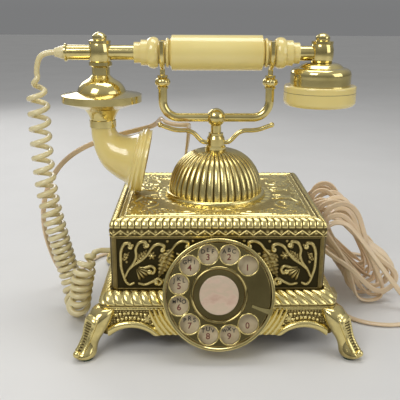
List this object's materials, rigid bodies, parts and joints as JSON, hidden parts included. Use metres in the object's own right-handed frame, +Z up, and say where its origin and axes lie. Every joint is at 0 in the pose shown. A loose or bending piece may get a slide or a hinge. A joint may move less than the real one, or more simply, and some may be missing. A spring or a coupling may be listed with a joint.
{
  "type": "rotary telephone",
  "caption": "Gilt parlour telephone: casket on bowed legs with tilted rotary dial, ribbed dome, sprung cradle, horn handset, curly cord and line cord.",
  "frame": {"origin": "on the table, under the middle of the whole outline without its cords", "axes": "+Z up, -Y the way the dial faces, +X towards the ear end of the handset"},
  "size_m": [0.3243, 0.2287, 0.2305],
  "materials": {
    "gilt": "polished, antiqued in the recesses",
    "ivory": "glossy, a little yellowed",
    "cord_ivory": "satin vinyl",
    "cord_cream": "satin vinyl",
    "dial_face": "satin with printed figures",
    "dark": "satin",
    "pearl": "pearly",
    "steel": "zinc plated",
    "base_board": "matt",
    "pad": "matt",
    "bakelite": "matt",
    "winding": "enamelled wire",
    "plug": "clear cream"
  },
  "bodies": {
    "base": {"base_frame": "gilt", "casket_shell": "gilt", "lid": "gilt", "leg_front_right": "gilt", "leg_front_left": "gilt", "leg_rear_right": "gilt", "leg_rear_left": "gilt", "dome": "gilt", "collar": "gilt", "horn_left": "gilt", "horn_right": "gilt", "dial_cup": "gilt", "dial_bezel": "gilt", "finger_stop": "gilt", "curly_cord": "cord_ivory", "line_cord": "cord_cream", "line_hank": "cord_cream", "number_plate": "dial_face", "cord_grommets": "dark", "collar_nut": "steel", "base_screws": "steel", "switch_bracket": "steel", "plunger_spring": "steel", "dial_plate": "steel", "rear_bridge": "steel", "spring_barrel": "steel", "ringer_frame": "steel", "gongs": "steel", "base_plate": "base_board", "foot_pads": "pad", "network_block": "bakelite", "ringer_coil": "winding", "line_plug": "plug"},
    "cradle": {"cradle_post": "gilt", "yoke": "gilt", "fork_left": "gilt", "fork_right": "gilt"},
    "lever": {"switch_lever": "steel"},
    "dial": {"finger_wheel": "gilt", "centre_dish": "dark", "centre_button": "pearl", "dial_shaft": "steel", "main_gear": "steel"},
    "governor": {"governor": "steel"},
    "clapper": {"clapper": "steel"},
    "handset": {"handle_tube": "gilt", "grip": "ivory", "ferrule_left": "ivory", "ferrule_right": "ivory", "transmitter_tee": "gilt", "receiver_tee": "gilt", "finials": "gilt", "transmitter_bell": "gilt", "transmitter_cone": "gilt", "transmitter_capsule": "dark", "mouthpiece": "ivory", "receiver_cup": "gilt", "receiver_cap": "ivory", "receiver_capsule": "dark", "cord_boot": "cord_ivory"}
  },
  "joints": [
    {"name": "handset_lift", "type": "slide", "parent": "base", "child": "handset", "axis": [0, 0, 1], "range_m": [0, 0.15], "deforming": ["curly_cord"]},
    {"name": "cradle_rise", "type": "slide", "parent": "base", "child": "cradle", "axis": [0, 0, 1], "range_m": [0, 0.006], "deforming": ["plunger_spring"]},
    {"name": "switch_swing", "type": "hinge", "parent": "base", "child": "lever", "pos_m": [0.0338, 0, 0.0825], "axis": [0, 1, 0], "range_deg": [0, 11]},
    {"name": "dial_turn", "type": "hinge", "parent": "base", "child": "dial", "pos_m": [0.0058, -0.087, 0.05], "axis": [0, 0.9563, -0.2924], "range_deg": [0, 318], "stiffness_Nm_per_rad": 0.004, "springref_deg": -85.94},
    {"name": "governor_spin", "type": "hinge", "parent": "base", "child": "governor", "pos_m": [0.0058, -0.08042, 0.07152], "axis": [0, 0.9563, -0.2924], "range_deg": [-1272, 0]},
    {"name": "clapper_swing", "type": "hinge", "parent": "base", "child": "clapper", "pos_m": [0.0058, 0.018, 0.037], "axis": [0, 0, 1], "range_deg": [-3, 3]}
  ],
  "couplings": [
    {"joint": "cradle_rise", "follows": "handset_lift", "ratio": 0.04},
    {"joint": "switch_swing", "follows": "handset_lift", "rad_per_m": 1.279},
    {"joint": "governor_spin", "follows": "dial_turn", "ratio": -4}
  ]
}
